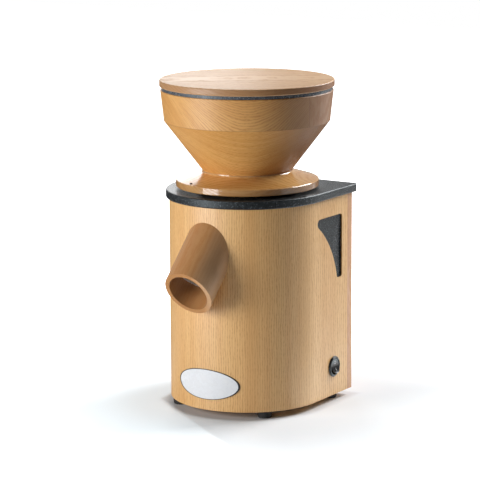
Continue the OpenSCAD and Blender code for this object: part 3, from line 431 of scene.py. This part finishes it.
def metal(name, colour, rough, stretch=(1.0, 1.0, 1.0), grain_mm=0.5, depth=0.02, metallic=1.0):
    """A bare metal: a tint that wanders, and fine tool marks along one direction."""
    s = Shader(name, Metallic=metallic)
    marks = s.noise(s.vector("MULTIPLY", s.place, stretch), 1.0 / grain_mm, 2.0)
    cloud = s.noise(s.place, 0.08, 3.0)
    darker = tuple(channel * 0.78 for channel in colour[:3]) + (1.0,)
    s.colour(s.mix(s.blur_step(cloud, 0.35, 0.7), colour, darker))
    s.rough(s.blur_step(marks, 0.3, 0.7, rough - 0.08, rough + 0.10))
    s.bump(marks, depth)
    return s.material


def stone():
    """Bonded corundum: off-white grit with grey and tan grains and open pores."""
    s = Shader("corundum_stone", Specular_IOR_Level=0.4)
    grit, tint = s.cells(s.place, 1.4)
    share = s.split(tint)[0]
    pores = s.noise(s.place, 1.1, 3.0, 0.65)
    pale = s.mix(share, srgb(226, 221, 208), srgb(196, 186, 170))
    s.colour(s.mix(s.blur_step(pores, 0.58, 0.72), pale, srgb(150, 142, 130)))
    s.rough(s.blur_step(pores, 0.3, 0.7, 0.78, 0.92))
    s.bump(s.math("ADD", pores, grit), 0.25)
    return s.material


def felt():
    """Pressed wool: fibres of two greys that cross at random."""
    s = Shader("wool_felt", Specular_IOR_Level=0.2, Sheen_Weight=0.3)
    fibres = s.noise(s.vector("MULTIPLY", s.place, (3.0, 0.5, 1.5)), 1.2, 4.0, 0.7)
    crossed = s.noise(s.vector("MULTIPLY", s.place, (0.5, 3.0, 1.5)), 1.2, 4.0, 0.7)
    both = s.math("MULTIPLY", s.math("ADD", fibres, crossed), 0.5)
    s.colour(s.mix(s.blur_step(both, 0.35, 0.65), srgb(166, 158, 144), srgb(128, 120, 108)))
    s.rough(s.blur_step(both, 0.3, 0.7, 0.86, 0.97))
    s.bump(both, 0.3)
    return s.material


def badge_enamel():
    """A plain white oval badge with a thin dark border; the badge is left bare."""
    s = Shader("badge_enamel", Specular_IOR_Level=0.5, Coat_Weight=0.3, Coat_Roughness=0.1)
    depth = s.math("SUBTRACT", AXIS_Y, s.y)
    across = s.math("MULTIPLY", s.math("ARCTAN2", s.x, depth), BODY_R)
    half_w, half_h = BADGE_HALF
    u = s.math("DIVIDE", s.x, half_w)
    v = s.math("DIVIDE", s.math("SUBTRACT", s.z, BADGE_Z), half_h)
    out = s.math("SQRT", s.math("MULTIPLY_ADD", u, u, s.math("MULTIPLY", v, v)))
    film = s.noise(s.join(across, s.z, 0.0), 0.12, 2.0)
    white = s.mix(s.blur_step(film, 0.3, 0.7), srgb(243, 247, 252), srgb(236, 241, 247))
    s.colour(s.mix(s.blur_step(out, *BADGE_BORDER), white, srgb(38, 36, 36)))
    s.rough(s.blur_step(film, 0.3, 0.7, 0.22, 0.32))
    s.bump(film, 0.02)
    return s.material


LOOKS = {
    "shell": shell_beech(),
    "bowl": bowl_beech(),
    "lid": rimmed_beech(
        "beech_lid", GRAIN_TURN + 4.0, pith_z=250.0, offset=2.1, rough=0.38, least=0.6, most=1.0,
        shine=0.55, pale=srgb(240, 196, 148), deep=srgb(228, 182, 132), contrast=0.7,
    ),
    "flange": rimmed_beech(
        "beech_flange", GRAIN_TURN - 6.0, pith_z=200.0, offset=7.4, rough=0.08, least=0.4, most=0.7,
        contrast=0.8,
    ),
    "spout": spout_beech(),
    "back": plain_beech("beech_back", upright, 6.2, srgb(222, 172, 130), srgb(204, 150, 110)),
    "inner_beech": plain_beech("beech_inner", lengthwise, 9.1),
    "composite": composite("composite", srgb(9, 10, 11), srgb(20, 23, 26), srgb(150, 160, 168)),
    "grip": composite(
        "composite_grip", srgb(8, 9, 10), srgb(26, 30, 34), srgb(150, 160, 168),
        speck_from=0.60, shine=0.28,
    ),
    # Painted sheen: the lid ring is the same dark composite, given a lighter grey for the light it
    # reflects.
    "composite_ring_painted_sheen": composite(
        "composite_ring_painted_sheen", srgb(62, 67, 73), srgb(92, 98, 104), srgb(176, 184, 192), speck_from=0.6,
    ),
    "gloss_black": moulded(
        "switch_gloss", srgb(16, 16, 17), 0.14, grain_mm=0.4, depth=0.01, spread=0.04,
    ),
    "matte_black": moulded("black_plastic", srgb(34, 35, 37), 0.48),
    "rubber": moulded("foot_rubber", srgb(30, 30, 31), 0.72, grain_mm=0.5, depth=0.05),
    "steel": metal("zinc_steel", srgb(196, 198, 201), 0.30),
    "alloy": metal(
        "cast_alloy", srgb(220, 222, 224), 0.34, stretch=(1.0, 1.0, 0.15), metallic=0.4,
    ),
    "iron": metal(
        "painted_iron", srgb(92, 97, 104), 0.55, grain_mm=0.8, depth=0.05, metallic=0.3,
    ),
    "lamination": metal(
        "stacked_iron", srgb(120, 122, 126), 0.45, stretch=(0.1, 0.1, 4.0), depth=0.06, metallic=0.8,
    ),
    "brass": metal("turned_brass", srgb(214, 178, 104), 0.28, stretch=(0.2, 0.2, 3.0)),
    "copper": metal(
        "enamelled_copper", srgb(178, 98, 52), 0.30, stretch=(0.4, 0.4, 4.0), grain_mm=0.6,
        depth=0.08,
    ),
    "stone": stone(),
    "felt": felt(),
    "badge": badge_enamel(),
}

WEARS = {
    "shell": ["shell"],
    "bowl": ["hopper_bowl"],
    "lid": ["lid"],
    "flange": ["hopper_flange"],
    "spout": ["spout"],
    "back": ["back_panel"],
    "inner_beech": ["corner_blocks", "base_board"],
    "composite": ["top_plate", "stone_carrier"],
    "grip": ["grip_lining_left", "grip_lining_right"],
    "composite_ring_painted_sheen": ["lid_ring"],
    "gloss_black": ["switch_bezel", "switch_rocker"],
    "matte_black": [
        "setting_dot", "switch_nut", "switch_body", "cooling_fan", "terminal_block", "cable_gland",
        "gland_nut", "shaft_seal", "capacitor", "stone_driver",
    ],
    "rubber": ["foot_front_left", "foot_front_right", "foot_rear_left", "foot_rear_right"],
    "steel": [
        "carrier_screws", "plate_screws", "chamber_screws", "base_screws", "foot_screws", "cap_nut",
        "motor_shaft", "upper_bearing", "lower_bearing", "motor_screws", "capacitor_clip",
    ],
    "alloy": ["milling_chamber", "upper_end_shield", "lower_end_shield"],
    "iron": ["motor_frame"],
    "lamination": ["stator_core", "rotor"],
    "brass": ["thread_ring"],
    "copper": ["windings"],
    "stone": ["upper_stone", "lower_stone"],
    "felt": ["dust_seal"],
    "badge": ["badge"],
}


def dress(piece, material):
    """Gives every slot of one piece the same material."""
    if not piece.material_slots:
        piece.data.materials.append(material)
    for held in piece.material_slots:
        held.material = material


for look, names in WEARS.items():
    for node_name in names:
        dress(NODES[node_name], LOOKS[look])
undressed = set(NODES) - {name for names in WEARS.values() for name in names}
if undressed:
    raise ValueError(f"nodes without a material: {sorted(undressed)}")

# ---------- the switch's printed marks ----------

ROCKER_HALF_SWING = math.radians(12.0)
ROCKER_R = 8.9
ROCKER_RISE = 3.0
ROCKER_BOW = ROCKER_R * math.tan(ROCKER_HALF_SWING)
HOLLOW_R = (ROCKER_R ** 2 + ROCKER_BOW ** 2) / (2.0 * ROCKER_BOW)
MARK_OUT = 4.4
MARK_LIFT = (0.01, 0.06)
MARK_R = 2.0
MARK_LINE = 0.55
STROKE_SLIT = 0.02
STROKE_END = 0.2
MARK_INK = moulded("mark_ink", srgb(214, 216, 218), 0.4, grain_mm=0.3, depth=0.005)


def on_rocker(sideways, up, lift):
    """The place over the rocker's hollow face, measured along the face from its middle."""
    angle = up / HOLLOW_R
    reach = HOLLOW_R - lift
    return Vector((
        ROCKER_RISE + HOLLOW_R - reach * math.cos(angle), sideways, reach * math.sin(angle),
    ))


def band_between(bm, outer, inner, middle):
    """A thin closed band between two outlines, over the rocker's face."""
    outer_low, outer_high, inner_low, inner_high = [
        [bm.verts.new(on_rocker(x, middle + y, lift)) for x, y in loop]
        for loop in (outer, inner) for lift in MARK_LIFT
    ]
    rows = [outer_low, outer_high, inner_high, inner_low]
    for i in range(len(outer)):
        j = (i + 1) % len(outer)
        for near, far in zip(rows, rows[1:] + rows[:1]):
            bm.faces.new((near[i], near[j], far[j], far[i]))
    bmesh.ops.recalc_face_normals(bm, faces=bm.faces[:])


def mark(name, outer, inner, middle):
    """A thin printed mark between two closed outlines, bent to the rocker's hollow face."""
    tip = next(joint for joint in frame["joints"] if joint["name"] == "rocker_tip")
    pin = Matrix.Translation(Vector(tip["pos_m"]))
    lean = Matrix.Rotation(-ROCKER_HALF_SWING, 4, "Y")
    mesh = bpy.data.meshes.new(name)
    bm = bmesh.new()
    band_between(bm, outer, inner, middle)
    bm.to_mesh(mesh)
    bm.free()
    mesh.transform(pin @ lean @ Matrix.Scale(1.0 / MM, 4))
    piece = bpy.data.objects.new(name, mesh)
    bpy.context.scene.collection.objects.link(piece)
    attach(piece, "rocker")
    dress(piece, MARK_INK)


def circle(radius, count=40):
    """A closed round outline."""
    turns = [math.tau * i / count for i in range(count)]
    return [(radius * math.cos(turn), radius * math.sin(turn)) for turn in turns]


def stroke(half_width, half_length, count=8):
    """A closed outline of an upright bar with points along its length."""
    steps = [half_length * (2 * i / count - 1.0) for i in range(count + 1)]
    return [(half_width, y) for y in steps] + [(-half_width, y) for y in reversed(steps)]


mark("switch_mark_off", circle(MARK_R), circle(MARK_R - MARK_LINE), MARK_OUT)
mark(
    "switch_mark_on",
    stroke(MARK_LINE / 2, MARK_R),
    stroke(STROKE_SLIT, MARK_R - STROKE_END),
    -MARK_OUT,
)

# ---------- floor ----------

FLOOR_HALF = 4.0
BACK_DEPTH = 89.0
LIT_AZIMUTHS = (-35.0, -85.0)
FLOOR_PLAIN = (0.80, 0.80, 0.80, 1.0)
FLOOR_SEEN = (0.80, 0.81, 0.83, 1.0)
FLOOR_REFLECTION_SHADE = (0.10, 0.10, 0.10, 1.0)
GLOW_NEAR = (0.80, 0.93, 1.0, 1.0)
GLOW_RINGS = ((0.0, 12.0, 0.17), (35.0, 240.0, 0.4), (180.0, 600.0, 0.8))
REFLECTION_PATCH_GLOW = 2.2


def floor_colour(s, seen, mirrored):
    """A pale grey; in mirrored rays the floor behind the mill is painted dark, a painted shade in the
    mill's reflections, as if a black card lay there.
    """
    behind = s.math("MULTIPLY", s.blur_step(s.y, 60.0, 120.0), mirrored)
    reflection_shade = s.math("MULTIPLY", behind, s.blur_step(s.x, 60.0, 120.0, 1.0, 0.78))
    return s.mix(seen, s.mix(reflection_shade, FLOOR_PLAIN, FLOOR_REFLECTION_SHADE), FLOOR_SEEN)


def outside_body(s, y):
    """How far a place lies outside the body's plan; y counts from the body's axis."""
    ahead = s.math("MINIMUM", y, 0.0)
    radius = s.math("SQRT", s.math("MULTIPLY_ADD", s.x, s.x, s.math("MULTIPLY", ahead, ahead)))
    return s.math("MAXIMUM", s.math("SUBTRACT", radius, BODY_R), s.math("SUBTRACT", y, BACK_DEPTH))


def beyond_body(s, y, azimuth):
    """How far a place lies past the round front's edge in one direction."""
    angle = math.radians(azimuth)
    reach = s.math("MULTIPLY_ADD", s.x, math.sin(angle), s.math("MULTIPLY", y, -math.cos(angle)))
    return s.math("SUBTRACT", reach, BODY_R)


def floor_glow(s, y, out):
    """A weak glow for the camera: it lifts the floor at the lit sides and whitens it far out."""
    sides = [s.blur_step(beyond_body(s, y, azimuth), -1.0, 9.0) for azimuth in LIT_AZIMUTHS]
    glow = s.math("MULTIPLY", s.math("MAXIMUM", *sides), s.blur_step(out, 20.0, 90.0, 0.26, 0.40))
    near = s.blur_step(beyond_body(s, y, LIT_AZIMUTHS[0]), -70.0, 0.0, 0.0, 0.09)
    glow = s.math("MAXIMUM", glow, s.math("MULTIPLY", near, s.blur_step(out, 0.0, 30.0)))
    for start, end, level in GLOW_RINGS:
        glow = s.math("ADD", glow, s.blur_step(out, start, end, 0.0, level))
    return glow


def painted_reflection_patch(s, y):
    """A painted reflection: a bright patch at the mill's right that only mirrored rays see, as if a white
    card lay there.
    """
    near = s.blur_step(s.x, 95.0, 125.0, 0.0, REFLECTION_PATCH_GLOW)
    far = s.blur_step(s.x, 150.0, 380.0, 1.0, 0.35)
    return s.math("MULTIPLY", s.math("MULTIPLY", near, far), s.blur_step(y, -50.0, 0.0))


def floor_look():
    """The floor's material. What it glows with is for camera and mirrored rays, not for diffuse light."""
    s = Shader("pale_floor", Roughness=0.6, Specular_IOR_Level=0.2)
    path = s.node("ShaderNodeLightPath")
    seen = path.outputs["Is Camera Ray"]
    mirrored = path.outputs["Is Glossy Ray"]
    y = s.math("SUBTRACT", s.y, AXIS_Y)
    out = outside_body(s, y)
    s.colour(floor_colour(s, seen, mirrored))
    tint = s.mix(s.blur_step(out, 60.0, 280.0), GLOW_NEAR, WHITE)
    s.put(s.bsdf.inputs["Emission Color"], tint)
    glow = s.math("MULTIPLY", floor_glow(s, y, out), seen)
    # Painted reflection: the floor glows for mirrored rays at the mill's right.
    card = s.math("MULTIPLY", painted_reflection_patch(s, y), mirrored)
    s.put(s.bsdf.inputs["Emission Strength"], s.math("ADD", glow, card))
    return s.material


def add_floor():
    """A wide level square under the feet, which carries the mill's shadow."""
    bm = bmesh.new()
    bmesh.ops.create_grid(bm, x_segments=8, y_segments=8, size=FLOOR_HALF)
    mesh = bpy.data.meshes.new("floor")
    bm.to_mesh(mesh)
    bm.free()
    floor = bpy.data.objects.new("floor", mesh)
    bpy.context.scene.collection.objects.link(floor)
    dress(floor, floor_look())


add_floor()

# ---------- light ----------

LAMP_DISTANCE = 1.5


def lamp(name, azimuth, elevation, width, height, watts, aim):
    """A soft box that faces a height on the mill's axis; azimuth 0 is the front, 90 the right."""
    light = bpy.data.lights.new(name, "AREA")
    light.shape = "RECTANGLE"
    light.size = width
    light.size_y = height
    light.energy = watts
    turn, up = math.radians(azimuth), math.radians(elevation)
    out = Vector((math.sin(turn) * math.cos(up), -math.cos(turn) * math.cos(up), math.sin(up)))
    holder = bpy.data.objects.new(name, light)
    bpy.context.scene.collection.objects.link(holder)
    holder.location = Vector((0.0, AXIS_Y / MM, aim)) + out * LAMP_DISTANCE
    holder.rotation_euler = (-out).to_track_quat("-Z", "Y").to_euler()


lamp("key", azimuth=-27.0, elevation=9.0, width=0.75, height=1.0, watts=21.0, aim=0.11)
lamp("rim", azimuth=154.0, elevation=32.0, width=0.75, height=1.0, watts=30.0, aim=0.21)
lamp("back", azimuth=222.0, elevation=14.0, width=0.5, height=0.9, watts=3.9, aim=0.21)


def towards(s, view, azimuth, steps):
    """A level that goes with how nearly a direction faces one azimuth."""
    angle = math.radians(azimuth)
    facing = s.vector("DOT_PRODUCT", view, (math.sin(angle), -math.cos(angle), 0.0))
    return s.blur_step(facing, *steps)


def studio_world():
    """White for the camera; about half as bright in mirrored rays, and dim at the mill's right."""
    world = bpy.data.worlds.new("studio")
    world.use_nodes = True
    bpy.context.scene.world = world
    s = Nodes(world.node_tree)
    path = s.node("ShaderNodeLightPath")
    view = s.node("ShaderNodeTexCoord").outputs["Generated"]
    behind = towards(s, view, CAMERA_AZIMUTH + 180.0, (-0.1, 0.7, 0.4, 0.46))
    right = towards(s, view, 96.0, (0.5, 0.85, 1.0, 0.15))
    strength = s.blend(path.outputs["Is Glossy Ray"], 0.0, s.math("MULTIPLY", behind, right))
    strength = s.blend(path.outputs["Is Transmission Ray"], strength, 1.0)
    strength = s.blend(path.outputs["Is Camera Ray"], strength, 1.0)
    glow = s.node("ShaderNodeBackground")
    s.put(glow.inputs["Color"], WHITE)
    s.put(glow.inputs["Strength"], strength)
    s.put(s.node("ShaderNodeOutputWorld").inputs["Surface"], glow.outputs[0])


studio_world()

# ---------- camera ----------

def add_camera():
    """The camera that was fitted to the photo's outline."""
    data = bpy.data.cameras.new("camera")
    data.sensor_width = SENSOR
    data.lens = FOCAL * SENSOR / IMAGE
    data.clip_end = 50.0
    holder = bpy.data.objects.new("camera", data)
    bpy.context.scene.collection.objects.link(holder)
    turn, down = math.radians(CAMERA_AZIMUTH), math.radians(CAMERA_DOWN)
    forward = Vector((-math.sin(turn) * math.cos(down), math.cos(turn) * math.cos(down), -math.sin(down)))
    holder.rotation_mode = "QUATERNION"
    look = forward.to_track_quat("-Z", "Y")
    roll = Matrix.Rotation(math.radians(CAMERA_ROLL), 3, "Z").to_quaternion()
    holder.rotation_quaternion = look @ roll
    holder.location = CAMERA_AT
    bpy.context.scene.camera = holder


add_camera()
bpy.context.scene.view_settings.view_transform = "Standard"
